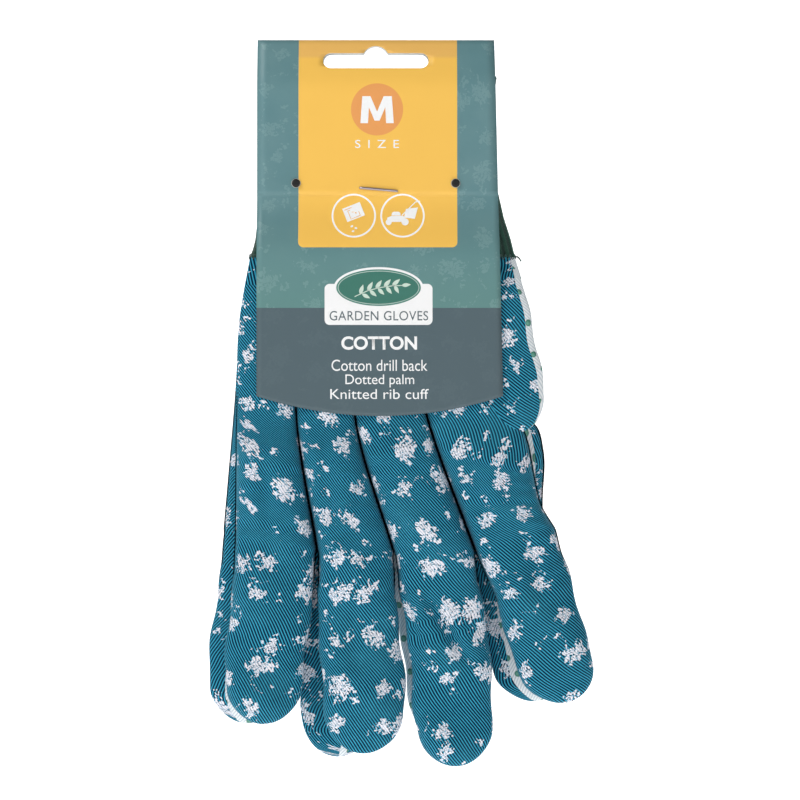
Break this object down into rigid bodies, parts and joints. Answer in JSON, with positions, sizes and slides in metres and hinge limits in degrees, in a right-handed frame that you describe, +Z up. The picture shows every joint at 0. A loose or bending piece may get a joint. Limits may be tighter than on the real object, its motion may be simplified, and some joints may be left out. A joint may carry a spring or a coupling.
{
  "type": "gardening gloves",
  "caption": "Pair of cotton gardening gloves with knitted cuffs, packed palm to palm and stapled and pinned into a folded hang card.",
  "frame": {"origin": "centre of the hang slot's straight bar, midway between the two gloves", "axes": "+Z up along the hanging pack, fingers towards -Z; the printed front of the pack faces -Y; both thumbs are on the +X side"},
  "size_m": [0.125, 0.0138, 0.2323],
  "materials": {
    "printed_card": "satin",
    "staple_wire": "polished",
    "black_plastic": "satin",
    "rib_knit": "matte",
    "sewing_thread": "matte",
    "printed_drill": "matte",
    "dotted_cotton": "matte"
  },
  "bodies": {
    "pack": {"header_card": "printed_card", "staple": "staple_wire", "tag_pin_left": "black_plastic", "tag_pin_right": "black_plastic", "right_cuff": "rib_knit", "right_cuff_hem": "rib_knit", "right_wrist_seam": "sewing_thread", "right_hand_back": "printed_drill", "right_hand_palm": "dotted_cotton", "left_cuff": "rib_knit", "left_cuff_hem": "rib_knit", "left_wrist_seam": "sewing_thread", "left_hand_back": "printed_drill", "left_hand_palm": "dotted_cotton"},
    "card_front": {"card_front_flap": "printed_card"},
    "card_back": {"card_back_flap": "printed_card"},
    "right_little": {"right_little_back": "printed_drill", "right_little_palm": "dotted_cotton"},
    "right_ring": {"right_ring_back": "printed_drill", "right_ring_palm": "dotted_cotton"},
    "right_middle": {"right_middle_back": "printed_drill", "right_middle_palm": "dotted_cotton"},
    "right_index": {"right_index_back": "printed_drill", "right_index_palm": "dotted_cotton"},
    "right_thumb": {"right_thumb_back": "printed_drill", "right_thumb_palm": "dotted_cotton"},
    "left_little": {"left_little_back": "printed_drill", "left_little_palm": "dotted_cotton"},
    "left_ring": {"left_ring_back": "printed_drill", "left_ring_palm": "dotted_cotton"},
    "left_middle": {"left_middle_back": "printed_drill", "left_middle_palm": "dotted_cotton"},
    "left_index": {"left_index_back": "printed_drill", "left_index_palm": "dotted_cotton"},
    "left_thumb": {"left_thumb_back": "printed_drill", "left_thumb_palm": "dotted_cotton"}
  },
  "joints": [
    {"name": "front_flap_crease", "type": "hinge", "parent": "pack", "child": "card_front", "pos_m": [0, -0.00385, -0.0436], "axis": [-1, 0, 0], "range_deg": [0, 70]},
    {"name": "back_flap_crease", "type": "hinge", "parent": "pack", "child": "card_back", "pos_m": [0, 0.00385, -0.0436], "axis": [1, 0, 0], "range_deg": [0, 70]},
    {"name": "right_little_bend", "type": "hinge", "parent": "pack", "child": "right_little", "pos_m": [-0.032, -0.0062, -0.1535], "axis": [-0.9966, 0, 0.0819], "range_deg": [0, 70]},
    {"name": "right_ring_bend", "type": "hinge", "parent": "pack", "child": "right_ring", "pos_m": [-0.0065, -0.0062, -0.156], "axis": [-0.9986, 0, -0.0523], "range_deg": [0, 70]},
    {"name": "right_middle_bend", "type": "hinge", "parent": "pack", "child": "right_middle", "pos_m": [0.0185, -0.0062, -0.157], "axis": [-0.9936, 0, -0.1132], "range_deg": [0, 70]},
    {"name": "right_index_bend", "type": "hinge", "parent": "pack", "child": "right_index", "pos_m": [0.0448, -0.0062, -0.153], "axis": [-0.9483, 0, -0.3173], "range_deg": [0, 70]},
    {"name": "right_thumb_spread", "type": "hinge", "parent": "pack", "child": "right_thumb", "pos_m": [0.034, -0.00325, -0.0786], "axis": [0, -1, 0], "range_deg": [0, 30]},
    {"name": "left_little_bend", "type": "hinge", "parent": "pack", "child": "left_little", "pos_m": [-0.0366, 0.0062, -0.151], "axis": [0.994, 0, -0.1097], "range_deg": [0, 70]},
    {"name": "left_ring_bend", "type": "hinge", "parent": "pack", "child": "left_ring", "pos_m": [-0.0109, 0.0062, -0.156], "axis": [0.9997, 0, -0.0262], "range_deg": [0, 70]},
    {"name": "left_middle_bend", "type": "hinge", "parent": "pack", "child": "left_middle", "pos_m": [0.0156, 0.0062, -0.157], "axis": [0.9877, 0, 0.1564], "range_deg": [0, 70]},
    {"name": "left_index_bend", "type": "hinge", "parent": "pack", "child": "left_index", "pos_m": [0.0418, 0.0062, -0.1525], "axis": [0.9781, 0, 0.2079], "range_deg": [0, 70]},
    {"name": "left_thumb_spread", "type": "hinge", "parent": "pack", "child": "left_thumb", "pos_m": [0.034, 0.00325, -0.0786], "axis": [0, -1, 0], "range_deg": [0, 30]}
  ]
}
